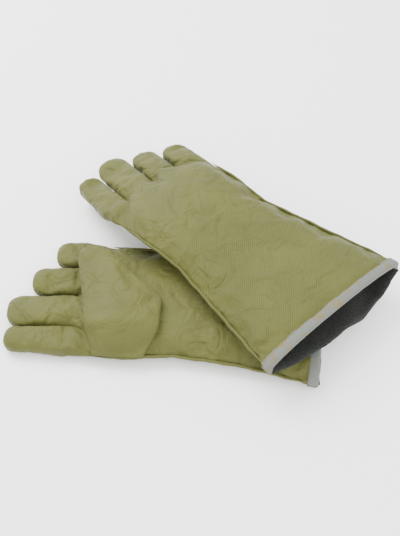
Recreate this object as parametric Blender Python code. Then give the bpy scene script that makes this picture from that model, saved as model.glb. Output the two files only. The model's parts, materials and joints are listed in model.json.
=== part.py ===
"""A pair of padded cryogenic gauntlet gloves, lying one across the other.

Each glove is two quilted panels sewn edge to edge: a palm side and a back side, with four finger
stalls and a thumb stall. Every wall has three plies: outer shell, insulation and lining. A tape
binds the mouth. The lower glove lies palm up with its thumb folded over the palm. The upper glove
lies back up across it, with its thumb tucked under its own palm.

A glove is drawn flat first, in its own frame: x runs from the mouth to the fingertips, y towards
the index side, w up through the thickness. lay() then carries a flat point to where it lies.
"""

import math

import bmesh
import bpy
from mathutils import Matrix, Vector

# ---- Driving dimensions of the flat pattern, in metres ----
MOUTH_HALF = 0.110  # half the flat width at the mouth
WRIST_HALF = 0.079
PALM_HALF = 0.083
WRIST_X = 0.174  # where the gauntlet meets the hand
BACK_SEAM_BOW = 0.014  # the back's wrist seam bows this far towards the fingers
HALF_THICK = 0.0135  # half the thickness of the hand and gauntlet
FINGER_THICK = 0.0115
THUMB_THICK = 0.0088
ROUNDNESS = 3.0  # superellipse exponent of the hand's and gauntlet's section
FLAT_SHARE = 0.55  # of the width is flat in the middle
STALL_ROUNDNESS = 2.4

# Plies, as (outer offset, inner offset) in from the glove's outer surface
PLIES = {"shell": (0.0, 0.0013), "insulation": (0.0017, 0.0039), "lining": (0.0043, 0.0052)}
WALL = PLIES["lining"][1]
JOIN_GAP = 0.0004  # between pieces that are sewn together

# Fingers: (name, root centre x, root centre y, width at the root, length, share narrowed by the tip)
FINGERS = (
    ("index", 0.298, 0.0637, 0.0385, 0.079, 0.24),
    ("middle", 0.300, 0.0208, 0.0450, 0.082, 0.06),
    ("ring", 0.299, -0.0232, 0.0392, 0.061, 0.06),
    ("little", 0.299, -0.0652, 0.0368, 0.039, 0.08),
)

# Thumb, drawn folded across the palm: v runs from its root line towards the little finger
THUMB_ROOT_Y = 0.074
THUMB_ROOT_X = (0.188, 0.276)
THUMB_ELBOW = (0.190, 0.066)  # x and v where its wrist-side edge turns
THUMB_TIP = (0.284, 0.122)  # x and v of the tip's centre
THUMB_TIP_RADIUS = 0.022
THUMB_STATIONS = (0.0, 0.005, 0.030, 0.066, 0.095, 0.122, 0.136, 0.1425)
THUMB_HOLE = (0.232, 0.048, 0.024, 0.013)  # x, y and half axes of the hole through the palm
THUMB_REST_GAP = 0.0012  # between the folded thumb and the palm

BINDING_WIDTH = 0.009
BINDING_THICK = 0.0009
BINDING_GAP = 0.0007
INNER_FLAP = 0.003  # the tape reaches only this far down inside the mouth

# ---- How the two gloves lie ----
UPPER_HEADING = math.radians(37.0)  # turned from the lower glove
UPPER_SHIFT = (0.0094, -0.0318)  # its mouth's centre, from the lower glove's
LOWER_YAWS = (3.0, 6.0, 6.0, 5.5)  # how far each stall turns to the index side, in degrees
UPPER_YAWS = (-11.5, -11.5, -12.5, -12.0)
LOWER_LEAN = 0.019
UPPER_LEAN = 0.002
FLOOR_GAP = 0.0021  # room under the lower glove for the binding's thickness

STATIONS_GAUNTLET = 6
STATIONS_HAND = 4
STATIONS_STALL = 2
TIP_STATIONS = 2
RING_POINTS = 10
EDGE_COLUMNS = (0.95, 1.0)  # shares of the half width, next to the side seams

SHELL_COLOUR = (0.33, 0.32, 0.13)
RIB_COLOUR = (0.31, 0.30, 0.10)
INSULATION_COLOUR = (0.75, 0.74, 0.68)
LINING_COLOUR = (0.045, 0.05, 0.05)
BINDING_COLOUR = (0.42, 0.44, 0.44)
PLY_COLOURS = {"shell": SHELL_COLOUR, "insulation": INSULATION_COLOUR, "lining": LINING_COLOUR}


# ---- Small curves ----


def ease(value):
    """0 to 1 with level ends."""
    value = min(1.0, max(0.0, value))
    return value * value * (3 - 2 * value)


def through(points, x):
    """A smooth curve through (x, value) points, with level ends between neighbours' mean slopes."""
    if x <= points[0][0]:
        return points[0][1]
    for i in range(len(points) - 1):
        (x0, a), (x1, b) = points[i], points[i + 1]
        if x > x1:
            continue
        span = x1 - x0
        before = points[max(i - 1, 0)]
        after = points[min(i + 2, len(points) - 1)]
        slope0 = (b - before[1]) / (x1 - before[0])
        slope1 = (after[1] - a) / (after[0] - x0)
        t = (x - x0) / span
        return (
            a * (1 + 2 * t) * (1 - t) ** 2
            + b * t * t * (3 - 2 * t)
            + slope0 * span * t * (1 - t) ** 2
            - slope1 * span * t * t * (1 - t)
        )
    return points[-1][1]


def half_width(x):
    if x < WRIST_X:
        return WRIST_HALF + (MOUTH_HALF - WRIST_HALF) * (1 - x / WRIST_X)
    return WRIST_HALF + (PALM_HALF - WRIST_HALF) * ease((x - WRIST_X) / 0.07)


def half_thick(x):
    return HALF_THICK + (FINGER_THICK - HALF_THICK) * ease((x - 0.24) / 0.055)


# ---- The two lays ----


class Glove:
    """One glove's lie: its place, its turn and the height of its middle surface."""

    def __init__(self, name, origin, heading, thumb_up, finger_yaws, lean):
        self.name = name
        self.lean = lean
        self.origin = origin
        self.forward = Vector((-math.cos(heading), math.sin(heading), 0))
        self.across = Vector((-math.sin(heading), -math.cos(heading), 0))
        self.thumb_side = 1 if thumb_up else -1
        self.yaws = [math.radians(a) for a in finger_yaws]

    def place(self, x, y):
        """Where the point lies in plan. The hand leans to one side from the wrist on."""
        across = y + self.lean * ease((x - 0.06) / 0.19)
        return self.origin + self.forward * x + self.across * across

    def lay(self, x, y, w, share=None):
        """share is the outer surface's y over the half width, where y is a ply's."""
        return self.place(x, y) + Vector((0, 0, self.middle(x, y) + w))


class LowerGlove(Glove):
    """Flat on the surface, palm up."""

    def middle(self, x, y):
        return FLOOR_GAP * ease(1 - x / 0.03) + half_thick(x)


class UpperGlove(Glove):
    """Arched over the lower glove, its fingertips down behind it and its mouth held open."""

    # (x, height of the middle surface)
    ARCH = ((0.0, 0.0495), (0.10, 0.0500), (0.165, 0.0530), (0.225, 0.0590),
            (0.265, 0.0565), (0.310, 0.0440), (0.350, 0.0320), (0.390, 0.0260))
    ROLL = 0.03  # the near side is raised by this share of its distance out
    DROOP = 0.08  # and the hand's unsupported far side hangs by this share
    TOP_RISE = 0.008
    LIP_REACH = 0.014  # the lower lip hangs out this far past the upper one
    LIP_REACH_LENGTH = 0.11
    LIP_DROP = 0.011  # and hangs this far down where nothing lies under it
    LOWER_CUFF_END = 0.026
    DROP_SPREAD = 0.026
    SQUEEZE = 0.06  # the hand's unsupported side is drawn in by this share
    MOUTH_SKEW = 0.006  # the mouth's far side hangs out further than its near side, by twice this
    MOUTH_REACH = 0.004  # and its middle by this, as the gauntlet is drawn out
    FAR_FLARE = 0.05  # and its far side is spread by this share

    def place(self, x, y):
        if y < 0:
            y *= 1 - self.SQUEEZE * ease((x - 0.18) / 0.09) + self.FAR_FLARE * ease(1 - x / 0.12)
        out = (self.MOUTH_REACH - self.MOUTH_SKEW * y / MOUTH_HALF) * ease(1 - x / 0.15)
        return super().place(x, y) - self.forward * out

    def middle(self, x, y):
        tilt = self.DROOP * ease((x - 0.10) / 0.10) if y < 0 else self.ROLL * ease(1 - (x - 0.25) / 0.1)
        return through(self.ARCH, x) + tilt * y

    def lay(self, x, y, w, share=None):
        if share is None:
            share = y / half_width(x)
        slack = max(0.0, 1 - share * share)
        point = super().lay(x, y, w)
        if w >= 0:
            point.z += self.TOP_RISE * ease(1 - x / 0.12) * slack
            return point
        slip = self.forward * self.LIP_REACH * ease(1 - x / self.LIP_REACH_LENGTH) * slack
        outer = self.place(x, share * half_width(x)) - slip
        past = ease((outer.x - self.LOWER_CUFF_END) / self.DROP_SPREAD)
        return point - slip - Vector((0, 0, self.LIP_DROP * past * min(1.0, 1.6 * slack)))


# ---- Sections ----


def bulge(share, roundness):
    """Height, as a share of the half thickness, at that share of the half width."""
    return max(0.0, 1 - abs(share) ** roundness) ** (1 / roundness)


def panel_bulge(share):
    """As bulge, for the panels, whose middle is flat."""
    return min(1.0, bulge(share, ROUNDNESS) / bulge(FLAT_SHARE, ROUNDNESS))


def ring_angles(count):
    return [2 * math.pi * i / count for i in range(count)]


def ring_point(angle, half, thick, roundness):
    c, s = math.cos(angle), math.sin(angle)
    return (
        math.copysign(abs(c) ** (2 / roundness), c) * half,
        math.copysign(abs(s) ** (2 / roundness), s) * thick,
    )


# ---- Building closed meshes ----


def add_object(name, vertices, faces, colour):
    mesh = bpy.data.meshes.new(name)
    mesh.from_pydata(vertices, [], faces)
    work = bmesh.new()
    work.from_mesh(mesh)
    bmesh.ops.recalc_face_normals(work, faces=work.faces)
    bmesh.ops.triangulate(work, faces=work.faces)
    work.to_mesh(mesh)
    work.free()
    mesh.shade_smooth()
    mesh.set_sharp_from_angle(angle=math.radians(40))
    obj = bpy.data.objects.new(name, mesh)
    bpy.context.scene.collection.objects.link(obj)
    mesh.materials.append(material(colour))
    return obj


def material(colour):
    name = "cloth_%02x%02x%02x" % tuple(int(255 * c) for c in colour)
    found = bpy.data.materials.get(name)
    if found:
        return found
    made = bpy.data.materials.new(name)
    made.use_nodes = True
    shader = made.node_tree.nodes["Principled BSDF"]
    shader.inputs["Base Color"].default_value = (*colour, 1)
    shader.inputs["Roughness"].default_value = 0.85
    shader.inputs["Metallic"].default_value = 0.0
    return made


def sheet_solid(name, outer, inner, colour):
    """A solid between two grids of points with the same rows and columns."""
    rows, columns = len(outer), len(outer[0])
    vertices = [p for grid in (outer, inner) for row in grid for p in row]

    def at(side, i, j):
        return side * rows * columns + i * columns + j

    faces = []
    for i in range(rows - 1):
        for j in range(columns - 1):
            for side in (0, 1):
                near, far = at(side, i, j), at(side, i + 1, j + 1)
                faces.append((near, at(side, i, j + 1), far))
                faces.append((near, far, at(side, i + 1, j)))
    for i in range(rows - 1):
        for j in (0, columns - 1):
            faces.append((at(0, i, j), at(0, i + 1, j), at(1, i + 1, j), at(1, i, j)))
    for j in range(columns - 1):
        for i in (0, rows - 1):
            faces.append((at(0, i, j), at(0, i, j + 1), at(1, i, j + 1), at(1, i, j)))
    return add_object(name, vertices, faces, colour)


def tube_faces(first, rings, points, cap_start, cap_end):
    """Faces along rings of vertices that start at the given index, with its ends closed or not."""
    faces = []
    for i in range(rings - 1):
        for j in range(points):
            k = (j + 1) % points
            a, b = first + i * points, first + (i + 1) * points
            faces.append((a + j, a + k, b + k, b + j))
    if cap_start:
        faces.append(tuple(first + j for j in range(points)))
    if cap_end:
        faces.append(tuple(first + (rings - 1) * points + j for j in range(points)))
    return faces


def cup_solid(name, outer, inner, colour, closed_root=False):
    """A stall: rings from its root to its tip, outside and inside, joined by a rim at the root."""
    points = len(outer[0])
    vertices = [p for rings in (outer, inner) for ring in rings for p in ring]
    second = len(outer) * points
    faces = tube_faces(0, len(outer), points, closed_root, True)
    faces += [f[::-1] for f in tube_faces(second, len(inner), points, closed_root, True)]
    if not closed_root:
        for j in range(points):
            k = (j + 1) % points
            faces.append((j, k, second + k, second + j))
    if closed_root:
        return hollow_object(name, vertices, faces, colour)
    return add_object(name, vertices, faces, colour)


def hollow_object(name, vertices, faces, colour):
    """As add_object, for an outer skin with a separate inner one that already face apart."""
    obj = add_object(name, vertices, faces, colour)
    work = bmesh.new()
    work.from_mesh(obj.data)
    work.verts.ensure_lookup_table()
    inner = {v.index for v in work.verts if v.index >= len(vertices) // 2}
    inside = [f for f in work.faces if all(v.index in inner for v in f.verts)]
    outside = [f for f in work.faces if f not in set(inside)]
    for group, sign in ((outside, 1), (inside, -1)):
        volume = sum(f.verts[0].co.dot(f.verts[1].co.cross(f.verts[2].co)) for f in group)
        if volume * sign < 0:
            bmesh.ops.reverse_faces(work, faces=group)
    work.to_mesh(obj.data)
    work.free()
    return obj


def cut(obj, cutter):
    modifier = obj.modifiers.new("opening", "BOOLEAN")
    modifier.operation = "DIFFERENCE"
    modifier.solver = "EXACT"
    modifier.object = cutter


# ---- Hand and gauntlet panels ----


def meeting_y(place):
    """y halfway between the stall at that place and the next one, at their roots."""
    stall, after = FINGERS[place], FINGERS[place + 1]
    return (stall[2] - stall[3] / 2 + after[2] + after[3] / 2) / 2


def finger_front(glove, share, offset):
    """x of the knuckle line: the root line of the stall whose width holds that share of the hand."""
    place = 0
    while place < len(FINGERS) - 1 and share * PALM_HALF < meeting_y(place):
        place += 1
    _, x0, y0 = FINGERS[place][:3]
    yaw = glove.yaws[place]
    outer, own = share * PALM_HALF - y0, share * (PALM_HALF - offset) - y0
    return x0 - max(outer * math.tan(yaw), own * math.tan(yaw)) - JOIN_GAP - 0.15 * offset


def hand_columns():
    """Shares of the half width for the hand's columns, with a close pair where two stalls meet."""
    shares = list(EDGE_COLUMNS)
    for place, finger in enumerate(FINGERS):
        shares.append(finger[2] / PALM_HALF)
        if place < len(FINGERS) - 1:
            meet = meeting_y(place) / PALM_HALF
            shares += [meet + 0.006, meet - 0.006]
    return sorted(shares + [-s for s in EDGE_COLUMNS], reverse=True)


def panel_stations(glove, seam_x, gauntlet, hand):
    """Rows of a panel's points: for each, a function of the width share and ply offset for x."""
    rows = []
    if gauntlet:
        rows = [lambda share, offset, x=start: x for start in (0.0, INNER_FLAP)]
        last = STATIONS_GAUNTLET - 1 if hand else STATIONS_GAUNTLET
        for i in range(last):
            rows.append(lambda share, offset, t=i / (STATIONS_GAUNTLET - 1):
                        BINDING_WIDTH * (1 - t) + (seam_x(share) - JOIN_GAP) * t)
    if hand:
        for i in range(STATIONS_HAND + 1):
            rows.append(lambda share, offset, t=i / STATIONS_HAND:
                        seam_x(share) * (1 - t) + finger_front(glove, share, offset) * t)
    return rows


def panel_grid(glove, side, offset, columns, rows):
    """Points of one face of a panel."""
    grid = []
    for station in rows:
        row = []
        for share in columns:
            x = station(share, offset)
            half, thick = half_width(x) - offset, half_thick(x) - offset
            w = max(thick * panel_bulge(share), JOIN_GAP / 2)
            row.append(glove.lay(x, share * half, side * w, share))
        grid.append(row)
    return grid


def panel(glove, name, side, ply, rows):
    outer, inner = PLIES[ply]
    columns = hand_columns()
    return sheet_solid(
        f"{glove.name}_{name}_{ply}",
        panel_grid(glove, side, outer, columns, rows),
        panel_grid(glove, side, inner, columns, rows),
        PLY_COLOURS[ply],
    )


def make_hand(glove):
    """Both panels of the hand and gauntlet. Returns the palm side's pieces."""
    palm_side = glove.thumb_side
    palm_pieces = []
    for side, word, bow in ((palm_side, "palm", 0.0), (-palm_side, "back", BACK_SEAM_BOW)):
        seam_x = lambda share, b=bow: WRIST_X + b * (1 - share * share)
        cuff = panel(glove, f"gauntlet_{word}", side, "shell",
                     panel_stations(glove, seam_x, True, False))
        if side != palm_side:
            cuff.data.materials[0] = material(RIB_COLOUR)
        whole = panel_stations(glove, seam_x, True, True)
        pieces = [
            panel(glove, word, side, "shell", panel_stations(glove, seam_x, False, True)),
            panel(glove, word, side, "insulation", whole),
            panel(glove, word, side, "lining", whole),
        ]
        if side == palm_side:
            palm_pieces = pieces
    return palm_pieces


# ---- Stalls ----


def tip_share(s, length, radius):
    """How much narrower the section is at s, from a round tip of that radius."""
    into = max(0.0, s - (length - radius)) / radius
    return math.sqrt(max(0.0, 1 - into * into))


def stall_stations(length, radius):
    straight = [(length - radius) * i / STATIONS_STALL for i in range(STATIONS_STALL + 1)]
    turn = [math.sin(math.radians(82) * (i + 1) / TIP_STATIONS) for i in range(TIP_STATIONS)]
    return straight + [length - radius + radius * t for t in turn]


def finger_rings(glove, finger, yaw, offset):
    _, x0, y0, width, length, taper = finger
    thick = FINGER_THICK - offset
    reach, radius = length - offset, (width / 2 * (1 - taper) - offset) * 0.92
    rings = []
    for s in stall_stations(reach, radius):
        share = tip_share(s, reach, radius)
        half = width / 2 * (1 - taper * s / length) - offset
        ring = []
        for angle in ring_angles(RING_POINTS):
            t, w = ring_point(angle, half * share, thick * share ** 0.8, STALL_ROUNDNESS)
            x = x0 + s * math.cos(yaw) - t * math.sin(yaw)
            y = y0 + s * math.sin(yaw) + t * math.cos(yaw)
            ring.append(glove.lay(x, y, w))
        rings.append(ring)
    return rings


def make_fingers(glove):
    for finger, yaw in zip(FINGERS, glove.yaws):
        for ply, (outer, inner) in PLIES.items():
            cup_solid(f"{glove.name}_{finger[0]}_{ply}", finger_rings(glove, finger, yaw, outer),
                      finger_rings(glove, finger, yaw, inner), PLY_COLOURS[ply])


def thumb_edges(v):
    """x of the thumb's wrist-side and finger-side edges at v from its root line."""
    tip_x, tip_v = THUMB_TIP
    lean = math.atan2(tip_x + THUMB_TIP_RADIUS - THUMB_ROOT_X[1], tip_v)
    touch_v = tip_v - THUMB_TIP_RADIUS * math.sin(lean)
    touch_x = tip_x + THUMB_TIP_RADIUS * math.cos(lean)
    low_v, low_x = tip_v + THUMB_TIP_RADIUS * 0.75, tip_x - THUMB_TIP_RADIUS * 0.66
    round_part = math.sqrt(max(0.0, THUMB_TIP_RADIUS**2 - (v - tip_v) ** 2))
    far = touch_x + (touch_x - THUMB_ROOT_X[1]) * (v / touch_v - 1) if v < touch_v else tip_x + round_part
    if v < THUMB_ELBOW[1]:
        near = THUMB_ROOT_X[0] + (THUMB_ELBOW[0] - THUMB_ROOT_X[0]) * v / THUMB_ELBOW[1]
    elif v < low_v:
        near = THUMB_ELBOW[0] + (low_x - THUMB_ELBOW[0]) * (v - THUMB_ELBOW[1]) / (low_v - THUMB_ELBOW[1])
    else:
        near = tip_x - round_part
    return near, far


def thumb_rings(glove, offset):
    """Rings from the fold to the tip. Both ends are rounded off."""
    reach = THUMB_TIP[1] + THUMB_TIP_RADIUS
    side = glove.thumb_side
    rings = []
    for v in THUMB_STATIONS:
        near, far = thumb_edges(v)
        middle, half = (near + far) / 2, (far - near) / 2 - offset
        ends = bulge((v - reach / 2) / (reach / 2 + 0.004), 6)
        slim = min(1.0, half / (THUMB_TIP_RADIUS * 0.8)) ** 0.6
        thick = (THUMB_THICK - offset) * ends * slim
        y = THUMB_ROOT_Y - offset - (reach - 2 * offset) * v / reach
        ring = []
        for angle in ring_angles(RING_POINTS + 2):
            t, w = ring_point(angle, half, thick, STALL_ROUNDNESS)
            level = half_thick(middle + t) + THUMB_REST_GAP + THUMB_THICK
            ring.append(glove.lay(middle + t, y, side * level + w))
        rings.append(ring)
    return rings


def make_thumb(glove, palm_pieces):
    made = []
    for ply, (outer, inner) in PLIES.items():
        made.append(cup_solid(f"{glove.name}_thumb_{ply}", thumb_rings(glove, outer),
                              thumb_rings(glove, inner), PLY_COLOURS[ply], closed_root=True))
    x, y, half_x, half_y = THUMB_HOLE
    side = glove.thumb_side
    low = glove.lay(x, y, side * 1e-9)
    height = half_thick(x) + THUMB_REST_GAP + THUMB_THICK
    bpy.ops.mesh.primitive_cylinder_add(vertices=20, radius=1, depth=1)
    cutter = bpy.context.object
    cutter.name = f"{glove.name}_thumb_hole_cutter"
    cutter.data.transform(Matrix.Diagonal((half_x, half_y, height, 1)))
    cutter.rotation_euler.z = math.atan2(glove.forward.y, glove.forward.x)
    cutter.location = low + Vector((0, 0, side * height / 2))
    cutter.hide_render = True
    cutter.display_type = "WIRE"
    for obj in palm_pieces + made:
        cut(obj, cutter)


# ---- Binding ----


def make_binding(glove):
    """A tape folded over the raw edge of all three plies, all round the mouth."""
    back, front = BINDING_WIDTH, -BINDING_THICK - JOIN_GAP
    outside, skin = -BINDING_GAP - BINDING_THICK, -BINDING_GAP
    lining, inside = WALL + BINDING_GAP, WALL + BINDING_GAP + BINDING_THICK
    section = ((back, skin), (back, outside), (INNER_FLAP, outside), (front, outside),
               (front, inside), (INNER_FLAP, inside), (INNER_FLAP, lining), (-JOIN_GAP, lining),
               (-JOIN_GAP, skin), (INNER_FLAP, skin))
    columns = hand_columns()
    round_mouth = [(share, 1) for share in columns] + [(share, -1) for share in columns[-2:0:-1]]
    rings = []
    for share, side in round_mouth:
        ring = []
        for x, offset in section:
            w = side * max((half_thick(0) - offset) * panel_bulge(share), 1e-9)
            edge, flap, tail = [glove.lay(at, share * (half_width(at) - offset), w, share)
                                for at in (0.0, INNER_FLAP, BINDING_WIDTH)]
            ring.append(tail if x == BINDING_WIDTH else edge + (flap - edge) * (x / INNER_FLAP))
        rings.append(ring)
    points = len(section)
    vertices = [p for ring in rings for p in ring]
    faces = []
    for i, (_, side) in enumerate(round_mouth):
        a, b = i * points, (i + 1) % len(rings) * points
        for j in range(points):
            k = (j + 1) % points
            outward = side > 0 and (i + 1 < len(columns))
            if (section[j][0] <= section[k][0]) == outward:
                faces += [(a + j, a + k, b + k), (a + j, b + k, b + j)]
            else:
                faces += [(a + j, a + k, b + j), (a + k, b + k, b + j)]
    return add_object(f"{glove.name}_cuff_binding", vertices, faces, BINDING_COLOUR)


# ---- Assembly ----


def clear_scene():
    for obj in list(bpy.data.objects):
        bpy.data.objects.remove(obj)


def make_glove(glove):
    palm_pieces = make_hand(glove)
    make_fingers(glove)
    make_thumb(glove, palm_pieces)
    make_binding(glove)


def finger_pivot(glove, finger):
    """A stall bends about its root line, at the face that lies up."""
    return glove.lay(finger[1], finger[2], FINGER_THICK)


def thumb_pivot(glove):
    """The upper-lying thumb folds out about its root line. The tucked one swings in its plane."""
    x, y = sum(THUMB_ROOT_X) / 2, THUMB_ROOT_Y
    side = glove.thumb_side
    return glove.lay(x, y, side * (half_thick(x) + THUMB_REST_GAP * 0.5))


def set_origin(obj, point):
    obj.data.transform(Matrix.Translation(-point))
    obj.location = point


def centre_on_floor(objects):
    """Moves everything so that the whole stands on z = 0 with its middle at the origin."""
    corners = [obj.matrix_world @ v.co for obj in objects for v in obj.data.vertices]
    low = Vector([min(c[i] for c in corners) for i in range(3)])
    high = Vector([max(c[i] for c in corners) for i in range(3)])
    shift = Vector((-(low.x + high.x) / 2, -(low.y + high.y) / 2, -low.z))
    for obj in bpy.data.objects:
        obj.location += shift


def main():
    clear_scene()
    centre = Vector((0.0, 0.0, 0.0))
    shift = Vector((*UPPER_SHIFT, 0.0))
    lower = LowerGlove("lower", centre, 0.0, True, LOWER_YAWS, LOWER_LEAN)
    upper = UpperGlove("upper", shift, UPPER_HEADING, False, UPPER_YAWS, UPPER_LEAN)
    for glove in (lower, upper):
        make_glove(glove)
        for finger in FINGERS:
            for ply in PLIES:
                set_origin(bpy.data.objects[f"{glove.name}_{finger[0]}_{ply}"], finger_pivot(glove, finger))
        for ply in PLIES:
            set_origin(bpy.data.objects[f"{glove.name}_thumb_{ply}"], thumb_pivot(glove))
    bpy.context.view_layer.update()
    centre_on_floor([obj for obj in bpy.data.objects if not obj.hide_render])


main()
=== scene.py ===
"""Looks of the pair of cryogenic gauntlet gloves: padded cloth, lining, binding, light and camera.

Every surface is drawn in the glove's flat frame (x from the mouth to the fingertips, y to the index
side, w through the thickness) and then laid over the CAD. The outer cloth is first filled out by a
cloth simulation. The lining, binding, welts and stitches follow the calm cloth.
"""

import json
import math

import bmesh
import bpy
import numpy as np
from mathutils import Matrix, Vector


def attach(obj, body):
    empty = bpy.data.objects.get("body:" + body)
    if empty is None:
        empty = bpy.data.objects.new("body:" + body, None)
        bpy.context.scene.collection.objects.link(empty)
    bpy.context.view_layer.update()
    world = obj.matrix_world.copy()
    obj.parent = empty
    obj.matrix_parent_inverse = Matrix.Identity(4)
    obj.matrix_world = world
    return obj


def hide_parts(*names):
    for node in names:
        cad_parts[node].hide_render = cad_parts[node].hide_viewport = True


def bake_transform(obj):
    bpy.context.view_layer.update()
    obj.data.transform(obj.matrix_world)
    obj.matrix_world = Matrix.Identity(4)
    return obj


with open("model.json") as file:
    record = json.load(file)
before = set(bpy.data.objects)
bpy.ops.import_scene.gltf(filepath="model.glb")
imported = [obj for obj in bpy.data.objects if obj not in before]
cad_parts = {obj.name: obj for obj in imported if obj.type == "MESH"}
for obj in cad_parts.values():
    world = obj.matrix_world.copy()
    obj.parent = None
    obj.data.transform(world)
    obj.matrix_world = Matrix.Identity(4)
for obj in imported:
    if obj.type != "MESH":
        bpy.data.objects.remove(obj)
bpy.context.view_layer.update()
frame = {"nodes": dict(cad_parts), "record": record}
JOINTS = {joint["name"]: joint for joint in frame["record"]["behaviour"]["joints"]}

# ---- The flat pattern, in metres, as the CAD has it ----
MOUTH_HALF = 0.110
WRIST_HALF = 0.079
PALM_HALF = 0.083
WRIST_X = 0.174
BACK_SEAM_BOW = 0.014
HALF_THICK = 0.0135
FINGER_THICK = 0.0115
THUMB_THICK = 0.0088
WALL = 0.0052
FINGERS = (
    ("index", 0.298, 0.0637, 0.0385, 0.079, 0.24),
    ("middle", 0.300, 0.0208, 0.0450, 0.082, 0.06),
    ("ring", 0.299, -0.0232, 0.0392, 0.061, 0.06),
    ("little", 0.299, -0.0652, 0.0368, 0.039, 0.08),
)
THUMB_ROOT_Y = 0.074
THUMB_ROOT_X = (0.188, 0.276)
THUMB_ELBOW = (0.190, 0.066)
THUMB_TIP = (0.284, 0.122)
THUMB_TIP_RADIUS = 0.022
THUMB_MIDDLE_X = 0.232
THUMB_BEND = 0.016  # a length from the thumb's root line; two points this far apart are laid, and nothing uses them
# Where its cloth starts, from the root line: past it, over the hand's side, if it lies on top
THUMB_START = {1: -0.008, -1: 0.012}
THUMB_RISE = 0.036  # and over this length it rises to its full height
THUMB_CLEAR = 0.0006  # the thumb's cloth lies this far off the hand's
# Where it starts, its wrist-side edge is drawn in this far, and the other edge half as far
ROOT_ROUNDING = 0.014
BINDING_WIDTH = 0.0105
INNER_FLAP = 0.002
# (depth, height) of the fleece where it laps round the fold of the lower lip's binding
LIP_LAP = ((-0.0046, -0.0030), (-0.0040, -0.0056), (-0.0005, -0.0075), (0.0030, -0.0074))
FLOOR_GAP = 0.0021  # the mouth is this much higher off the floor, for its binding
FLOOR_CLEAR = 0.0003  # no cloth lies lower than this

# ---- How finely and how softly the cloth is drawn ----
FINGER_COLUMNS = 12
GAUNTLET_ROWS = 36
HAND_ROWS = 26
STALL_ROWS = 14
TIP_ROWS = 6
THUMB_COLUMNS = 18
THUMB_ROWS = 30
VALLEY = 0.040  # the valley between two stalls fades out over this length of the hand
SEAM_INSET = 0.0022  # the side seam is pulled in this far from the widest part
STALL_INSET = 0.0008  # and so much on the stalls
SEAM_HEIGHT = 0.42  # the pull begins at this share of the thickness
BODY_ROUNDNESS = 2.7
STALL_ROUNDNESS = 2.7
STALL_FULLNESS = 1.03  # the cloth is this much wider than the CAD's stall
TIP_BLUNTNESS = 0.85  # 1 for a round fingertip, less for a squarer one
PRESSURE = 5.0
CLOTH_EXCESS = 0.035  # how much more cloth there is than the shape needs, so that it wrinkles
CLOTH_FRAMES = 18
MOVE_CAP = 0.0045  # the simulation moves no point further than this
SEAM_CREASE = 0.6
LINING_SINK = 0.002  # the fleece lies this much deeper than the wall, clear of the cloth's wrinkles
LINING_SHORT = 8  # and stops this many rows before the knuckles
CRUMPLE = 1.0  # how strongly the shallow creases of the cloth show
CRUMPLE_DEPTH = 0.006

# ---- Welts and stitches ----
WELT_COLUMN = 2  # the welt stands on this column, counted from the side seam
WELT_RADIUS = 0.0019
WELT_TAPER = 7  # rows over which a welt's ends thin out
WELT_FACETS = 8
STITCH_PITCH = 0.0034
STITCH_LENGTH = 0.0024
STITCH_RADIUS = 0.00042
STITCH_FACETS = 6
STITCH_LINE = 0.0018  # from the binding's edge to its row of stitches
WRIST_STITCH_OFFSET = 0.0022

# ---- Colours ----
OLIVE = (0.074, 0.077, 0.0150)
OLIVE_RIBBED = (0.073, 0.077, 0.0130)


def ease(value):
    value = np.clip(value, 0.0, 1.0)
    return value * value * (3 - 2 * value)


def half_width(x):
    flare = (MOUTH_HALF - WRIST_HALF) * np.clip(1 - x / WRIST_X, 0, 1)
    return WRIST_HALF + flare + (PALM_HALF - WRIST_HALF) * ease((x - WRIST_X) / 0.07)


def half_thick(x):
    return HALF_THICK + (FINGER_THICK - HALF_THICK) * ease((x - 0.24) / 0.055)


def through(points, x):
    """The smooth curve through (x, value) points that the CAD's arch follows."""
    result = np.full(np.shape(x), points[-1][1], float)
    result = np.where(x <= points[0][0], points[0][1], result)
    for i in range(len(points) - 1):
        (x0, a), (x1, b) = points[i], points[i + 1]
        span = x1 - x0
        before, after = points[max(i - 1, 0)], points[min(i + 2, len(points) - 1)]
        slope0 = (b - before[1]) / (x1 - before[0])
        slope1 = (after[1] - a) / (after[0] - x0)
        t = (x - x0) / span
        value = a * (1 + 2 * t) * (1 - t) ** 2 + b * t * t * (3 - 2 * t)
        value += slope0 * span * t * (1 - t) ** 2 - slope1 * span * t * t * (1 - t)
        result = np.where((x > x0) & (x <= x1), value, result)
    return result


# ---- Where each glove lies ----


class Glove:
    """One glove's lie. thumb_side is 1 where its palm and thumb are on top."""

    def __init__(self, name, heading, thumb_side, yaws, lean):
        self.name = name
        self.forward = np.array((-math.cos(heading), math.sin(heading), 0.0))
        self.across = np.array((-math.sin(heading), -math.cos(heading), 0.0))
        self.thumb_side = thumb_side
        self.yaws = [math.radians(a) for a in yaws]
        self.lean = lean
        self.origin = np.zeros(3)
        index = FINGERS[0]
        here = self.lay(np.array([[index[1], index[2], FINGER_THICK]]), np.array([1.0]))[0]
        self.origin = np.array(JOINTS[f"{name}_index_bend"]["pos_m"]) - here

    def middle(self, x, y):
        return FLOOR_GAP * ease(1 - x / 0.03) + half_thick(x)

    def lay(self, points, side):
        """Flat points, and 1 or -1 for the upper or lower panel, to where they lie."""
        x, y, w = points.T
        laid = self.place(x, y)
        laid[:, 2] += self.middle(x, y) + w
        laid[:, 2] = np.maximum(laid[:, 2], FLOOR_CLEAR)
        return laid

    def place(self, x, y):
        across = y + self.lean * ease((x - 0.06) / 0.19)
        return self.origin + np.outer(x, self.forward) + np.outer(across, self.across)


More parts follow.
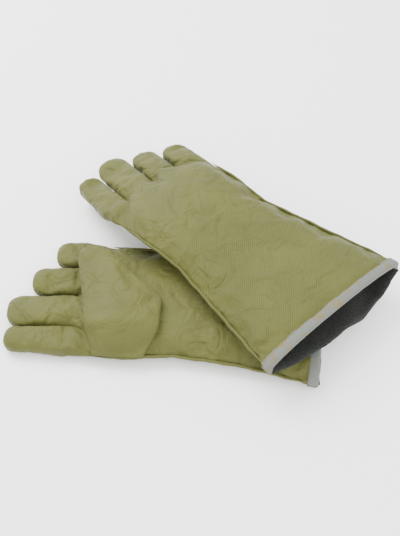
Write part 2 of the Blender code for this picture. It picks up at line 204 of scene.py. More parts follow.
class UpperGlove(Glove):
    """The upper glove arches over the lower one, and the lower lip of its mouth hangs open."""

    ARCH = ((0.0, 0.0495), (0.10, 0.0500), (0.165, 0.0530), (0.225, 0.0590),
            (0.265, 0.0565), (0.310, 0.0440), (0.350, 0.0320), (0.390, 0.0260))
    ROLL = 0.03  # slope of the index side, as far as the knuckles
    DROOP = 0.08  # slope of the little side, from the wrist on
    TOP_RISE = 0.008
    LIP_REACH = 0.014
    LIP_REACH_LENGTH = 0.11
    LIP_DROP = 0.011
    LOWER_CUFF_END = 0.026  # the lip hangs down from this far past the lower glove's mouth
    DROP_SPREAD = 0.026
    SQUEEZE = 0.06  # how much narrower the little side is at the hand
    FAR_FLARE = 0.05  # and how much wider at the mouth
    MOUTH_SKEW = 0.006
    MOUTH_REACH = 0.004

    def __init__(self, *words):
        self.lower_mouth_x = 0.0
        super().__init__(*words)

    def place(self, x, y):
        spread = 1 - self.SQUEEZE * ease((x - 0.18) / 0.09) + self.FAR_FLARE * ease(1 - x / 0.12)
        y = np.where(y < 0, y * spread, y)
        out = (self.MOUTH_REACH - self.MOUTH_SKEW * y / MOUTH_HALF) * ease(1 - x / 0.15)
        return super().place(x, y) - np.outer(out, self.forward)

    def middle(self, x, y):
        droop = self.DROOP * ease((x - 0.10) / 0.10)
        roll = self.ROLL * ease(1 - (x - 0.25) / 0.1)
        return through(self.ARCH, x) + np.where(y < 0, droop, roll) * y

    def lay(self, points, side):
        x, y, w = points.T
        share = np.clip(y / half_width(x), -1, 1)
        slack = 1 - share * share
        laid = super().lay(points, side)
        top = side > 0
        laid[:, 2] += np.where(top, self.TOP_RISE * ease(1 - x / 0.12) * slack, 0)
        reach = np.where(top, 0, self.LIP_REACH * ease(1 - x / self.LIP_REACH_LENGTH) * slack)
        laid -= np.outer(reach, self.forward)
        past = ease((laid[:, 0] - self.lower_mouth_x - self.LOWER_CUFF_END) / self.DROP_SPREAD)
        laid[:, 2] -= np.where(top, 0, self.LIP_DROP * past * np.minimum(1, 1.6 * slack))
        return laid


# ---- Sections ----


def even_points(curve, count):
    """count points spaced evenly along a polyline."""
    steps = np.linalg.norm(np.diff(curve, axis=0), axis=1)
    run = np.concatenate(([0], np.cumsum(steps)))
    at = np.linspace(0, run[-1], count)
    return np.stack([np.interp(at, run, curve[:, k]) for k in range(curve.shape[1])], axis=1)


def section(half, thick, roundness, count, inset=SEAM_INSET):
    """(y, w) of one panel from its +y seam to its -y seam. The seams are pulled in a little."""
    angle = np.linspace(0, math.pi, 181)
    c, s = np.cos(angle), np.sin(angle)
    curve = np.stack([np.sign(c) * np.abs(c) ** (2 / roundness) * half,
                      np.abs(s) ** (2 / roundness) * thick], axis=1)
    near_seam = ease(1 - curve[:, 1] / (SEAM_HEIGHT * thick))
    curve[:, 0] -= np.sign(c) * inset * near_seam * near_seam
    return even_points(curve, count)


def tip_rows(length, radius):
    """(distance along, width share) of a stall's rows, the last ones round its tip."""
    rows = [(s, 1.0) for s in np.linspace(0, length - radius, STALL_ROWS + 1)[1:]]
    for turn in np.linspace(0, math.radians(80), TIP_ROWS + 1)[1:]:
        rows.append((length - radius + radius * math.sin(turn), math.cos(turn) ** TIP_BLUNTNESS))
    return rows


# ---- The pattern as one mesh, filled out by cloth simulation ----


class Cloth:
    """Vertices and faces of one glove's flat cloth, with a group for each face."""

    def __init__(self):
        self.points, self.sides, self.pinned = [], [], []
        self.faces, self.groups = [], []
        self.shared = {}
        self.panels = []

    def vertex(self, point, side, seam=False, key=None):
        """Adds a vertex, or finds the one that the two panels share under this key."""
        if key is not None and key in self.shared:
            return self.shared[key]
        self.points.append(point)
        self.sides.append(side)
        self.pinned.append(seam)
        if key is not None:
            self.shared[key] = len(self.points) - 1
        return len(self.points) - 1

    def panel(self, rows, side, group):
        """Quads between rows of vertex numbers. group(i) names row i's group."""
        for i in range(len(rows) - 1):
            for a, b, c, d in zip(rows[i], rows[i][1:], rows[i + 1][1:], rows[i + 1]):
                face = [a, b, c, d] if side > 0 else [d, c, b, a]
                if len(set(face)) == 4:
                    self.faces.append(face)
                    self.groups.append(group(i))


def stall_point(finger, yaw, s, t, w):
    x0, y0 = finger[1:3]
    return (x0 + s * math.cos(yaw) - t * math.sin(yaw), y0 + s * math.sin(yaw) + t * math.cos(yaw), w)


def stall_section(half, thick):
    return section(half, thick, STALL_ROUNDNESS, FINGER_COLUMNS + 1, STALL_INSET)


def knuckle_line(glove):
    """(x, y, w) where the hand's columns end and the stalls begin."""
    root = np.zeros((len(FINGERS) * FINGER_COLUMNS + 1, 3))
    for f, (finger, yaw) in enumerate(zip(FINGERS, glove.yaws)):
        for k, (t, w) in enumerate(stall_section(finger[3] / 2, FINGER_THICK)):
            column = f * FINGER_COLUMNS + k
            point = np.array(stall_point(finger, yaw, 0, t, w))
            between_stalls = f and not k
            root[column] = (root[column] + point) / 2 if between_stalls else point
    return root


def hand_rows(cloth, root, side, bow):
    """Adds one panel's vertices from the mouth to the knuckles. bow is its wrist seam's."""
    columns = len(root) - 1
    probe = section(1.0, 1.0, BODY_ROUNDNESS, columns + 1)
    last = GAUNTLET_ROWS + HAND_ROWS
    rows = []
    for i in range(last + 1):
        row = []
        in_gauntlet = min(1, i / GAUNTLET_ROWS)
        in_hand = max(0, i - GAUNTLET_ROWS) / HAND_ROWS
        for c, (share, level) in enumerate(probe):
            seam_x = WRIST_X + bow * (1 - min(1, share * share))
            x = seam_x * in_gauntlet + (root[c][0] - seam_x) * in_hand
            parted = ease((x - root[c][0] + VALLEY) / VALLEY) ** 1.3
            half = half_width(x) - SEAM_INSET * ease(1 - level / SEAM_HEIGHT)
            y = share / abs(probe[0][0]) * half * (1 - parted) + root[c][1] * parted
            w = level * half_thick(x) * (1 - parted) + root[c][2] * parted
            seam = c in (0, columns) or (i == last and c % FINGER_COLUMNS == 0)
            key = ("hand", i, c) if seam else None
            w = 0.0 if seam else w
            row.append(cloth.vertex((x, y, side * w), 1 if seam else side, seam or i < 2, key))
        rows.append(row)
    return rows


def stall_rows(cloth, finger, yaw, side):
    """Adds one panel's vertices of a stall, from past its root to its tip."""
    name, _, _, width, length, taper = finger
    half = width / 2 * STALL_FULLNESS
    stations = tip_rows(length, half * (1 - taper) * 0.95)
    rows = []
    for j, (s, share) in enumerate(stations):
        at_tip = j == len(stations) - 1
        curve = stall_section(half * (1 - taper * s / length) * share, FINGER_THICK * share ** 0.7)
        row = []
        for k, (t, w) in enumerate(curve):
            seam = at_tip or k in (0, FINGER_COLUMNS)
            key = (name, j, k) if seam else None
            point = stall_point(finger, yaw, s, t, 0.0 if seam else side * w)
            row.append(cloth.vertex(point, 1 if seam else side, seam, key))
        rows.append(row)
    return rows


def draw_hand(glove):
    """Gauntlet, hand and four stalls as two panels sewn along their outline."""
    cloth = Cloth()
    root = knuckle_line(glove)
    for side in (1, -1):
        face = "palm" if side == glove.thumb_side else "back"
        rows = hand_rows(cloth, root, side, BACK_SEAM_BOW if face == "back" else 0.0)
        cloth.panels.append(rows)
        cloth.panel(rows, side, lambda i: f"gauntlet_{face}" if i < GAUNTLET_ROWS else f"hand_{face}")
        for f, (finger, yaw) in enumerate(zip(FINGERS, glove.yaws)):
            first = rows[-1][f * FINGER_COLUMNS:(f + 1) * FINGER_COLUMNS + 1]
            cloth.panel([first] + stall_rows(cloth, finger, yaw, side), side, lambda i: finger[0])
    return cloth


def thumb_edges(v):
    """x of the thumb's wrist-side and finger-side edges at v from its root line."""
    tip_x, tip_v = THUMB_TIP
    lean = math.atan2(tip_x + THUMB_TIP_RADIUS - THUMB_ROOT_X[1], tip_v)
    touch_v = tip_v - THUMB_TIP_RADIUS * math.sin(lean)
    touch_x = tip_x + THUMB_TIP_RADIUS * math.cos(lean)
    low_v, low_x = tip_v + THUMB_TIP_RADIUS * 0.75, tip_x - THUMB_TIP_RADIUS * 0.66
    round_part = math.sqrt(max(0.0, THUMB_TIP_RADIUS**2 - (v - tip_v) ** 2))
    far = tip_x + round_part
    if v < touch_v:
        far = touch_x + (touch_x - THUMB_ROOT_X[1]) * (v / touch_v - 1)
    near = tip_x - round_part
    if v < THUMB_ELBOW[1]:
        near = THUMB_ROOT_X[0] + (THUMB_ELBOW[0] - THUMB_ROOT_X[0]) * v / THUMB_ELBOW[1]
    elif v < low_v:
        slope = (low_x - THUMB_ELBOW[0]) / (low_v - THUMB_ELBOW[1])
        near = THUMB_ELBOW[0] + slope * (v - THUMB_ELBOW[1])
    return near, far


def draw_thumb(glove):
    """The thumb stall folded on its palm, its root drawn down towards the side seam."""
    cloth = Cloth()
    reach = THUMB_TIP[1] + THUMB_TIP_RADIUS
    start = THUMB_START[glove.thumb_side]
    for side in (1, -1):
        rows = []
        for i in range(THUMB_ROWS + 1):
            part = i / THUMB_ROWS
            part = (0.5 - 0.5 * math.cos(math.pi * part)) * 0.6 + part * 0.4
            v = start + (reach * 0.985 - start) * part
            near, far = thumb_edges(max(v, 0.0))
            end = i in (0, THUMB_ROWS)
            shoulders = 1 - abs(2 * max(v, 0) / reach - 1) ** 7 if v > reach / 2 else 1
            risen = ease((v - start) / THUMB_RISE)
            near, far = near + ROOT_ROUNDING * (1 - risen), far - 0.5 * ROOT_ROUNDING * (1 - risen)
            thick = THUMB_THICK * max(0.0, shoulders) ** 0.5 * (0.3 + 0.7 * risen)
            curve = section((far - near) / 2, thick, STALL_ROUNDNESS, THUMB_COLUMNS + 1)
            row = []
            for k, (t, w) in enumerate(curve):
                seam = end or k in (0, THUMB_COLUMNS)
                x = (near + far) / 2 + t
                level = (half_thick(x) + THUMB_CLEAR + THUMB_THICK) * (0.2 + 0.8 * risen)
                y = THUMB_ROOT_Y - v
                key = ("thumb", i, k) if seam else None
                height = glove.thumb_side * level + (0.0 if seam else side * w)
                row.append(cloth.vertex((x, y, height), 1 if seam else side, seam, key))
            rows.append(row)
        cloth.panel(rows, side, lambda i: "thumb")
    return cloth


def to_mesh(name, points, faces):
    mesh = bpy.data.meshes.new(name)
    mesh.from_pydata([tuple(map(float, p)) for p in points], [], faces)
    mesh.update()
    obj = bpy.data.objects.new(name, mesh)
    bpy.context.scene.collection.objects.link(obj)
    return obj


def fill_out(name, cloth):
    """Presses the cloth out from inside and returns where its points end up, still flat."""
    start = np.array(cloth.points)
    obj = to_mesh(name + "_sim", start, cloth.faces)
    group = obj.vertex_groups.new(name="seams")
    group.add([i for i, pinned in enumerate(cloth.pinned) if pinned], 1.0, "REPLACE")
    modifier = obj.modifiers.new("cloth", "CLOTH")
    settings = modifier.settings
    settings.quality = 6
    settings.mass = 0.25
    settings.air_damping = 2.0
    settings.tension_stiffness = 18
    settings.compression_stiffness = 18
    settings.shear_stiffness = 8
    settings.bending_stiffness = 0.35
    settings.use_pressure = True
    settings.uniform_pressure_force = PRESSURE
    settings.shrink_min = -CLOTH_EXCESS
    settings.vertex_group_mass = "seams"
    settings.pin_stiffness = 1
    settings.effector_weights.gravity = 0.0
    modifier.collision_settings.use_collision = False
    modifier.point_cache.frame_start = 1
    modifier.point_cache.frame_end = CLOTH_FRAMES
    scene = bpy.context.scene
    for number in range(1, CLOTH_FRAMES + 1):
        scene.frame_set(number)
    shaped = obj.evaluated_get(bpy.context.evaluated_depsgraph_get()).data
    result = np.array([v.co for v in shaped.vertices])
    scene.frame_set(1)
    bpy.data.objects.remove(obj)
    move = result - start
    length = np.linalg.norm(move, axis=1, keepdims=True)
    return start + move * np.minimum(1, MOVE_CAP / np.maximum(length, 1e-9))


# ---- Materials ----


def node(tree, kind, **values):
    made = tree.nodes.new(kind)
    for key, value in values.items():
        if key in made.inputs:
            made.inputs[key].default_value = value
        else:
            setattr(made, key, value)
    return made


def link(tree, source, target):
    tree.links.new(source, target)


def new_material(name, colour, roughness):
    made = bpy.data.materials.new(name)
    made.use_nodes = True
    shader = made.node_tree.nodes["Principled BSDF"]
    shader.inputs["Base Color"].default_value = (*colour, 1)
    shader.inputs["Roughness"].default_value = roughness
    shader.inputs["Specular IOR Level"].default_value = 0.22
    shader.inputs["Sheen Weight"].default_value = 0.05
    shader.inputs["Sheen Roughness"].default_value = 0.5
    return made, made.node_tree, shader


def cloth_material(name, colour, rib_pitch, rib_depth, rib_turn, shade_depth):
    """A woven cloth whose ribs run at rib_turn in the flat frame, with cloudy colour."""
    made, tree, shader = new_material(name, colour, 0.62)
    place = node(tree, "ShaderNodeUVMap", uv_map="flat")
    turn = node(tree, "ShaderNodeMapping")
    turn.inputs["Rotation"].default_value = (0, 0, rib_turn)
    link(tree, place.outputs[0], turn.inputs["Vector"])
    ribs = node(tree, "ShaderNodeTexWave", wave_type="BANDS", bands_direction="X", wave_profile="SIN")
    ribs.inputs["Scale"].default_value = 1 / rib_pitch / 3.1831
    ribs.inputs["Distortion"].default_value = 1.2
    ribs.inputs["Detail Scale"].default_value = 0.4
    ribs.inputs["Detail"].default_value = 1.0
    link(tree, turn.outputs[0], ribs.inputs["Vector"])
    thread = node(tree, "ShaderNodeTexNoise", Scale=1400.0, Detail=2.0)
    link(tree, turn.outputs[0], thread.inputs["Vector"])
    cloud = node(tree, "ShaderNodeTexNoise", Scale=16.0, Detail=4.0)
    link(tree, place.outputs[0], cloud.inputs["Vector"])
    tone = node(tree, "ShaderNodeMapRange")
    tone.inputs["To Min"].default_value = 0.88
    tone.inputs["To Max"].default_value = 1.12
    tone.inputs["From Min"].default_value = 0.3
    tone.inputs["From Max"].default_value = 0.7
    link(tree, cloud.outputs["Fac"], tone.inputs["Value"])
    dim = node(tree, "ShaderNodeMapRange")
    dim.inputs["To Min"].default_value = 1 - shade_depth
    dim.inputs["To Max"].default_value = 1.0
    link(tree, ribs.outputs["Fac"], dim.inputs["Value"])
    both = node(tree, "ShaderNodeMath", operation="MULTIPLY")
    link(tree, tone.outputs[0], both.inputs[0])
    link(tree, dim.outputs[0], both.inputs[1])
    paint = node(tree, "ShaderNodeVectorMath", operation="SCALE")
    paint.inputs[0].default_value = colour
    link(tree, both.outputs[0], paint.inputs["Scale"])
    link(tree, paint.outputs[0], shader.inputs["Base Color"])
    height = node(tree, "ShaderNodeMath", operation="MULTIPLY_ADD")
    height.inputs[1].default_value = 0.35
    link(tree, thread.outputs["Fac"], height.inputs[0])
    link(tree, ribs.outputs["Fac"], height.inputs[2])
    crumple = node(tree, "ShaderNodeTexNoise", Scale=38.0, Detail=3.0, Roughness=0.45, Distortion=1.2)
    link(tree, place.outputs[0], crumple.inputs["Vector"])
    folds = node(tree, "ShaderNodeBump", Strength=CRUMPLE, Distance=CRUMPLE_DEPTH)
    link(tree, crumple.outputs["Fac"], folds.inputs["Height"])
    bump = node(tree, "ShaderNodeBump", Strength=0.6, Distance=rib_depth)
    link(tree, height.outputs[0], bump.inputs["Height"])
    link(tree, folds.outputs[0], bump.inputs["Normal"])
    link(tree, bump.outputs[0], shader.inputs["Normal"])
    return made


def fleece_material():
    made, tree, shader = new_material("dark_fleece", (0.012, 0.013, 0.012), 0.95)
    shader.inputs["Sheen Weight"].default_value = 0.08
    place = node(tree, "ShaderNodeTexCoord")
    tufts = node(tree, "ShaderNodeTexNoise", Scale=420.0, Detail=3.0, Roughness=0.7)
    link(tree, place.outputs["Object"], tufts.inputs["Vector"])
    ramp = node(tree, "ShaderNodeValToRGB")
    ramp.color_ramp.elements[0].color = (0.0038, 0.0045, 0.0040, 1)
    ramp.color_ramp.elements[1].color = (0.018, 0.020, 0.017, 1)
    ramp.color_ramp.elements[0].position = 0.3
    ramp.color_ramp.elements[1].position = 0.72
    link(tree, tufts.outputs["Fac"], ramp.inputs["Fac"])
    link(tree, ramp.outputs["Color"], shader.inputs["Base Color"])
    bump = node(tree, "ShaderNodeBump", Strength=0.9, Distance=0.0012)
    link(tree, tufts.outputs["Fac"], bump.inputs["Height"])
    link(tree, bump.outputs[0], shader.inputs["Normal"])
    return made


def binding_material():
    """Light grey tape with random patches of painted shade: the darker ochre that the tape shows in
    shadow.
    """
    made, tree, shader = new_material("grey_tape", (0.15, 0.155, 0.14), 0.7)
    place = node(tree, "ShaderNodeTexCoord")
    # painted shade: random patches where the grey tape turns the darker ochre it shows in shadow
    shade_patch = node(tree, "ShaderNodeTexNoise", Scale=60.0, Detail=3.0)
    link(tree, place.outputs["Object"], shade_patch.inputs["Vector"])
    ramp = node(tree, "ShaderNodeValToRGB")
    # the ochre is painted shade, the tape's shadowed colour; the second colour is the tape's own grey
    ramp.color_ramp.elements[0].color = (0.135, 0.112, 0.042, 1)
    ramp.color_ramp.elements[1].color = (0.118, 0.125, 0.113, 1)
    ramp.color_ramp.elements[0].position = 0.32
    ramp.color_ramp.elements[1].position = 0.5
    link(tree, shade_patch.outputs["Fac"], ramp.inputs["Fac"])
    link(tree, ramp.outputs["Color"], shader.inputs["Base Color"])
    weave = node(tree, "ShaderNodeTexVoronoi", Scale=900.0)
    link(tree, place.outputs["Object"], weave.inputs["Vector"])
    bump = node(tree, "ShaderNodeBump", Strength=0.4, Distance=0.0004)
    link(tree, weave.outputs["Distance"], bump.inputs["Height"])
    link(tree, bump.outputs[0], shader.inputs["Normal"])
    return made


def thread_material():
    made, tree, shader = new_material("yellow_thread", (0.145, 0.112, 0.022), 0.6)
    place = node(tree, "ShaderNodeTexCoord")
    twist = node(tree, "ShaderNodeTexNoise", Scale=2500.0, Detail=1.0)
    link(tree, place.outputs["Object"], twist.inputs["Vector"])
    bump = node(tree, "ShaderNodeBump", Strength=0.3, Distance=0.0002)
    link(tree, twist.outputs["Fac"], bump.inputs["Height"])
    link(tree, bump.outputs[0], shader.inputs["Normal"])
    return made


MATERIALS = {
    "smooth": cloth_material("smooth_cloth", OLIVE, 0.0011, 0.00012, math.radians(-40), 0.05),
    "ribbed": cloth_material("ribbed_cloth", OLIVE_RIBBED, 0.0024, 0.0005, math.radians(-44), 0.16),
    "fleece": fleece_material(),
    "tape": binding_material(),
    "thread": thread_material(),
}


# ---- From filled cloth to pieces ----


def laid_glove(glove, name, cloth, groups):
    """Fills out, lays and smooths the cloth, and splits it into one piece for each group list.

    Also returns where the calm, unfilled cloth's points lie.
    """
    flat = fill_out(name, cloth)
    laid = glove.lay(flat, np.array(cloth.sides))
    order = sorted(set(cloth.groups))
    whole = to_mesh(name + "_whole", laid, cloth.faces)
    mesh = whole.data
    uv = mesh.uv_layers.new(name="flat")
    corners = np.array([i for face in cloth.faces for i in face])
    uv.data.foreach_set("uv", np.array(cloth.points)[corners][:, :2].astype(np.float32).ravel())
    for _ in order:
        mesh.materials.append(None)
    mesh.polygons.foreach_set("material_index", [order.index(g) for g in cloth.groups])
    seam_edges(mesh, cloth)
    modifier = whole.modifiers.new("smooth", "SUBSURF")
    modifier.levels = modifier.render_levels = 1
    modifier.uv_smooth = "PRESERVE_BOUNDARIES"
    smooth = bpy.data.meshes.new_from_object(whole.evaluated_get(bpy.context.evaluated_depsgraph_get()))
    bpy.data.objects.remove(whole)
    smooth.shade_smooth()
    normals = np.array([v.normal for v in smooth.vertices])
    pieces = {}
    for piece, members in groups.items():
        wanted = {order.index(m) for m in members}
        pieces[piece] = split_piece(f"{glove.name}_{piece}", smooth, normals, wanted, order)
    bpy.data.meshes.remove(smooth)
    return pieces, glove.lay(np.array(cloth.points), np.array(cloth.sides))


def seam_edges(mesh, cloth):
    """Creases the edges where the two panels are sewn."""
    shared = set(cloth.shared.values())
    crease = mesh.attributes.new("crease_edge", "FLOAT", "EDGE")
    values = [SEAM_CREASE if shared.issuperset(edge.vertices) else 0.0 for edge in mesh.edges]
    crease.data.foreach_set("value", values)


def split_piece(name, source, normals, wanted, order):
    """The faces with a wanted material, as their own object with the whole's normals."""
    mesh = source.copy()
    mesh.name = name
    work = bmesh.new()
    work.from_mesh(mesh)
    number = work.verts.layers.int.new("number")
    for i, vertex in enumerate(work.verts):
        vertex[number] = i
    extra = [f for f in work.faces if f.material_index not in wanted]
    bmesh.ops.delete(work, geom=extra, context="FACES")
    kept = [v[number] for v in work.verts]
    work.verts.layers.int.remove(number)
    work.to_mesh(mesh)
    work.free()
    indexes = [p.material_index for p in mesh.polygons]
    look_of = {i: "ribbed" if order[i] == "gauntlet_back" else "smooth" for i in sorted(wanted)}
    looks = list(dict.fromkeys(look_of.values()))
    mesh.materials.clear()
    for look in looks:
        mesh.materials.append(MATERIALS[look])
    mesh.polygons.foreach_set("material_index", [looks.index(look_of[i]) for i in indexes])
    mesh.normals_split_custom_set_from_vertices([tuple(normals[i]) for i in kept])
    obj = bpy.data.objects.new(name, mesh)
    bpy.context.scene.collection.objects.link(obj)
    return obj


def finish_piece(obj, material, body):
    obj.data.materials.clear()
    obj.data.materials.append(MATERIALS[material])
    obj.data.shade_smooth()
    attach(obj, body)


def face_outward(obj):
    work = bmesh.new()
    work.from_mesh(obj.data)
    bmesh.ops.recalc_face_normals(work, faces=work.faces)
    work.to_mesh(obj.data)
    work.free()


def loop_of(cloth, i):
    """Row i of both panels as one closed loop of vertex numbers."""
    top, bottom = cloth.panels
    return top[i] + bottom[i][-2:0:-1]


def loop_normals(laid, cloth, i):
    """Outward normals and directions into the glove, at row i's loop."""
    edge, deep = laid[loop_of(cloth, i)], laid[loop_of(cloth, i + 2)]
    into = deep - edge
    into /= np.linalg.norm(into, axis=1, keepdims=True)
    along = np.roll(edge, -1, axis=0) - np.roll(edge, 1, axis=0)
    normal = np.cross(into, along)
    normal /= np.linalg.norm(normal, axis=1, keepdims=True)
    if ((edge - edge.mean(axis=0)) * normal).sum() < 0:
        normal = -normal
    return edge, into, normal


def lining(glove, laid, cloth):
    """The fleece inside, a wall's thickness in from the cloth, lapped over the lower lip."""
    rows = range(2, GAUNTLET_ROWS + HAND_ROWS - LINING_SHORT, 2)
    edge, into, normal = loop_normals(laid, cloth, 0)
    count = len(edge)
    half = len(cloth.panels[0][0])
    lower = np.arange(count - half)
    below = np.concatenate((np.zeros(half), ease((lower + 1) / 4) * ease((count - half - lower) / 4)))
    ripple = 0.0006 * np.sin(np.arange(count) * 0.9) + 0.0004 * np.sin(np.arange(count) * 2.3)
    points = []
    for a, b in LIP_LAP:
        depth = 0.003 + (a + ripple - 0.003) * below
        height = b * below - (WALL + 0.0004) * (1 - below)
        points.append(edge + into * depth[:, None] + normal * height[:, None])
    for i in rows:
        edge, _, normal = loop_normals(laid, cloth, i)
        angle = np.arange(len(edge)) * 2 * math.pi / len(edge)
        folds = 0.0006 * np.sin(9 * angle + 0.35 * i) + 0.0005 * np.sin(17 * angle - 0.8 * i)
        smooth = normal
        for _ in range(2):
            smooth = np.roll(smooth, 1, axis=0) + smooth + np.roll(smooth, -1, axis=0)
            smooth /= np.linalg.norm(smooth, axis=1, keepdims=True)
        points.append(edge - smooth * (WALL + LINING_SINK * min(1, i / 8) + folds)[:, None])
    faces = []
    for i in range(len(points) - 1):
        for j in range(count):
            k = (j + 1) % count
            faces.append((i * count + j, (i + 1) * count + j, (i + 1) * count + k, i * count + k))
    obj = to_mesh(f"{glove.name}_fleece_lining", np.concatenate(points), faces)
    soften(obj)
    finish_piece(obj, "fleece", f"{glove.name}_glove")


def soften(obj):
    modifier = obj.modifiers.new("smooth", "SUBSURF")
    modifier.levels = modifier.render_levels = 1
    mesh = bpy.data.meshes.new_from_object(obj.evaluated_get(bpy.context.evaluated_depsgraph_get()))
    obj.modifiers.clear()
    old = obj.data
    obj.data = mesh
    bpy.data.meshes.remove(old)
    obj.data.shade_smooth()


def binding(glove, laid, cloth):
    """A tape folded over the mouth's edge, with a row of stitches along its outer flap."""
    edge, into, normal = loop_normals(laid, cloth, 0)
    half_wall = WALL / 2 + 0.0006
    # (depth, height) of the tape's section: its outer flap, the fold, its inner flap
    profile = [(BINDING_WIDTH, 0.0003), (BINDING_WIDTH, 0.0013), (0.006, 0.0017), (0.001, 0.0016)]
    for turn in np.linspace(0.15, 0.85, 5) * math.pi:
        fold_height = (half_wall + 0.0008) * math.cos(turn) - half_wall + 0.0006
        profile.append((-0.0032 * math.sin(turn), fold_height))
    profile += [(0.001, -WALL - 0.0012), (INNER_FLAP, -WALL - 0.0010), (INNER_FLAP, -WALL - 0.0002)]
    count = len(edge)
    angle = np.arange(count) * 2 * math.pi / count
    pucker = 0.0004 * np.sin(31 * angle) + 0.0003 * np.sin(47 * angle + 1.0)
    rings = []
    for a, b in profile:
        sway = pucker * (1 if b > -WALL / 2 else -1)
        rings.append(edge + into * a + normal * (b + sway)[:, None])
    faces = []
    for i in range(len(rings)):
        n = (i + 1) % len(rings)
        for j in range(count):
            k = (j + 1) % count
            faces.append((i * count + j, i * count + k, n * count + k, n * count + j))
    obj = to_mesh(f"{glove.name}_cuff_binding_tape", np.concatenate(rings), faces)
    face_outward(obj)
    soften(obj)
    finish_piece(obj, "tape", f"{glove.name}_glove")
    line = edge + into * (BINDING_WIDTH - STITCH_LINE) + normal * (0.0017 + pucker)[:, None]
    stitches(f"{glove.name}_binding_stitches", line, normal, True, f"{glove.name}_glove")


def tube_faces(first, rings, facets):
    """The closed surface of a tube whose rings of vertices are numbered on from first."""
    faces = []
    for i in range(rings - 1):
        for q in range(facets):
            a, b = first + i * facets + q, first + i * facets + (q + 1) % facets
            faces.append([a, b, b + facets, a + facets])
    faces.append([first + facets - 1 - q for q in range(facets)])
    faces.append([first + (rings - 1) * facets + q for q in range(facets)])
    return faces


def stitches(name, line, normals, closed, body):
    """A row of short threads lying along a line of points."""
    path = np.vstack([line, line[:1]]) if closed else line
    ups = np.vstack([normals, normals[:1]]) if closed else normals
    run = np.concatenate(([0], np.cumsum(np.linalg.norm(np.diff(path, axis=0), axis=1))))
    count = int(run[-1] / STITCH_PITCH)
    points, faces = [], []
    for n in range(count):
        middle = (n + 0.5) * run[-1] / count
        ends = [middle - STITCH_LENGTH / 2, middle + STITCH_LENGTH / 2]
        a, b = [np.array([np.interp(e, run, path[:, k]) for k in range(3)]) for e in ends]
        up = np.array([np.interp(middle, run, ups[:, k]) for k in range(3)])
        up /= np.linalg.norm(up)
        along = (b - a) / np.linalg.norm(b - a)
        aside = np.cross(up, along)
        stations = ((0, 0.35, -1.0), (0.2, 1, 0), (0.8, 1, 0), (1, 0.35, -1.0))
        faces += tube_faces(len(points), len(stations), STITCH_FACETS)
        for part, size, lift in stations:
            centre = a + (b - a) * part + up * STITCH_RADIUS * lift
            for q in range(STITCH_FACETS):
                t = q * 2 * math.pi / STITCH_FACETS
                points.append(centre + (aside * math.cos(t) + up * math.sin(t)) * STITCH_RADIUS * size)
    obj = to_mesh(name, points, faces)
    finish_piece(obj, "thread", body)


def wrist_stitches(glove, laid, cloth):
    """A row of stitches beside the seam between the gauntlet's back and the hand's back."""
    panel = 0 if glove.thumb_side < 0 else 1
    rows = cloth.panels[panel]
    row = rows[GAUNTLET_ROWS][2:-2]
    after, before = rows[GAUNTLET_ROWS + 1][2:-2], rows[GAUNTLET_ROWS - 1][2:-2]
    seam, hand = laid[row], laid[after]
    forward = hand - laid[before]
    forward /= np.linalg.norm(forward, axis=1, keepdims=True)
    along = np.gradient(seam, axis=0)
    up = np.cross(forward, along)
    up /= np.linalg.norm(up, axis=1, keepdims=True)
    if up[:, 2].mean() * (1 if panel == 0 else -1) < 0:
        up = -up
    line = seam + forward * WRIST_STITCH_OFFSET + up * 0.0004
    stitches(f"{glove.name}_wrist_stitches", line, up, False, f"{glove.name}_glove")


def side_welts(glove, laid, cloth):
    """The turned seam allowance that stands along each side, between the two panels."""
    top = cloth.panels[0]
    points, faces = [], []
    for column, aside in ((WELT_COLUMN, WELT_COLUMN + 2), (-1 - WELT_COLUMN, -3 - WELT_COLUMN)):
        rows = top[1:len(top) - 6]
        spine = laid[[row[column] for row in rows]]
        inner = laid[[row[aside] for row in rows]]
        along = np.gradient(spine, axis=0)
        along /= np.linalg.norm(along, axis=1, keepdims=True)
        up = np.cross(inner - spine, along)
        up /= np.linalg.norm(up, axis=1, keepdims=True)
        up *= np.where(up[:, 2:] < 0, -1, 1)
        out = np.cross(along, up)
        run = np.arange(len(spine))
        sway = 0.0004 * np.sin(run * 0.8) + 0.0003 * np.sin(run * 1.7)
        faces += tube_faces(len(points), len(spine), WELT_FACETS)
        for k, spot in enumerate(spine):
            size = WELT_RADIUS * (0.2 + 0.8 * ease(min(k, len(spine) - 1 - k) / WELT_TAPER))
            for q in range(WELT_FACETS):
                t = q * 2 * math.pi / WELT_FACETS
                lift = up[k] * (math.sin(t) * size + sway[k])
                points.append(spot + out[k] * math.cos(t) * size * 1.25 + lift)
    obj = to_mesh(f"{glove.name}_side_welts", points, faces)
    face_outward(obj)
    soften(obj)
    finish_piece(obj, "smooth", f"{glove.name}_glove")


# ---- One glove ----


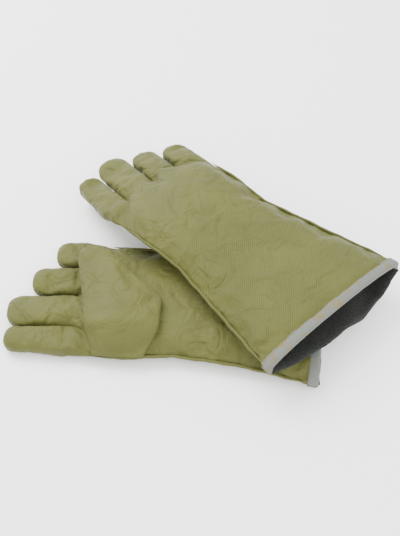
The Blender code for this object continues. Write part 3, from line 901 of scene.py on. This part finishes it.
def make_glove(glove):
    name, body = glove.name, f"{glove.name}_glove"
    cloth = draw_hand(glove)
    groups = {"body_cloth": ["gauntlet_back", "gauntlet_palm", "hand_back", "hand_palm"]}
    for finger in FINGERS:
        groups[f"{finger[0]}_cloth"] = [finger[0]]
    pieces, laid = laid_glove(glove, name, cloth, groups)
    nodes = sorted(frame["nodes"])
    own = [n for n in nodes if n.startswith(name + "_")]
    for piece, obj in pieces.items():
        finger = next((f for f in FINGERS if piece.startswith(f[0])), None)
        if finger is None:
            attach(obj, body)
            stall_names = [f[0] for f in FINGERS] + ["thumb"]
            mine = [n for n in own if n.split("_")[1] not in stall_names]
        else:
            yaw = glove.yaws[FINGERS.index(finger)]
            flat = [stall_point(finger, yaw, s, 0, 0) for s in (0.0, 0.030)]
            start, end = glove.lay(np.array(flat), np.ones(2))
            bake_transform(obj)
            mine = [n for n in own if n.split("_")[1] == finger[0]]
        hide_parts(*mine)
    lining(glove, laid, cloth)
    side_welts(glove, laid, cloth)
    binding(glove, laid, cloth)
    wrist_stitches(glove, laid, cloth)
    thumb = draw_thumb(glove)
    thumb_pieces, _ = laid_glove(glove, name + "_thumb", thumb, {"thumb_cloth": ["thumb"]})
    obj = thumb_pieces["thumb_cloth"]
    mine = [n for n in own if n.split("_")[1] == "thumb"]
    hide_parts(*mine)
    if glove.thumb_side > 0:
        level = half_thick(THUMB_MIDDLE_X)
        flat = [(THUMB_MIDDLE_X, THUMB_ROOT_Y - along, level) for along in (0.0, THUMB_BEND)]
        start, end = glove.lay(np.array(flat), np.ones(2))
        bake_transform(obj)
    else:
        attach(obj, f"{name}_thumb_stall")


# ---- Floor, light and camera ----
CAMERA_TURN = math.radians(7)  # the camera's azimuth, from the lower glove's side
CAMERA_RISE = math.radians(54)
CAMERA_DISTANCE = 1.33
CAMERA_LENS = 70
MOUTH_FROM_VIEW = (0.1557, -0.0540)  # the lower mouth's centre, from the point looked at


def make_camera(lower):
    data = bpy.data.cameras.new("camera")
    data.lens = CAMERA_LENS
    data.sensor_width = 36
    data.clip_start = 0.05
    camera = bpy.data.objects.new("camera", data)
    bpy.context.scene.collection.objects.link(camera)
    target = Vector((lower.origin[0] - MOUTH_FROM_VIEW[0], lower.origin[1] - MOUTH_FROM_VIEW[1], 0))
    ahead = Vector((-math.sin(CAMERA_TURN) * math.cos(CAMERA_RISE),
                    math.cos(CAMERA_TURN) * math.cos(CAMERA_RISE), -math.sin(CAMERA_RISE)))
    camera.location = target - ahead * CAMERA_DISTANCE
    camera.rotation_euler = ahead.to_track_quat("-Z", "Y").to_euler()
    bpy.context.scene.camera = camera


def area_light(name, spot, target, size, power):
    data = bpy.data.lights.new(name, "AREA")
    data.size = size
    data.energy = power
    light = bpy.data.objects.new(name, data)
    light.location = spot
    light.rotation_euler = (Vector(target) - Vector(spot)).to_track_quat("-Z", "Y").to_euler()
    bpy.context.scene.collection.objects.link(light)


def make_studio():
    bpy.ops.mesh.primitive_plane_add(size=8, location=(0, 0, 0))
    floor = bpy.context.object
    floor.name = "floor"
    paper, _, shader = new_material("white_paper", (0.96, 0.96, 0.96), 0.9)
    shader.inputs["Sheen Weight"].default_value = 0
    floor.data.materials.append(paper)
    world = bpy.data.worlds.new("studio")
    world.use_nodes = True
    world.node_tree.nodes["Background"].inputs["Color"].default_value = (1, 1, 1, 1)
    world.node_tree.nodes["Background"].inputs["Strength"].default_value = 2.3
    bpy.context.scene.world = world
    area_light("key", (-0.9, 0.7, 1.5), (0, 0, 0), 1.2, 62)
    area_light("fill", (0.8, -0.9, 1.2), (0, 0, 0), 1.4, 18)


lower_glove = Glove("lower", 0.0, 1, (3.0, 6.0, 6.0, 5.5), 0.019)
upper_glove = UpperGlove("upper", math.radians(37.0), -1, (-11.5, -11.5, -12.5, -12.0), 0.002)
upper_glove.lower_mouth_x = lower_glove.origin[0]
for each in (lower_glove, upper_glove):
    make_glove(each)
make_studio()
make_camera(lower_glove)
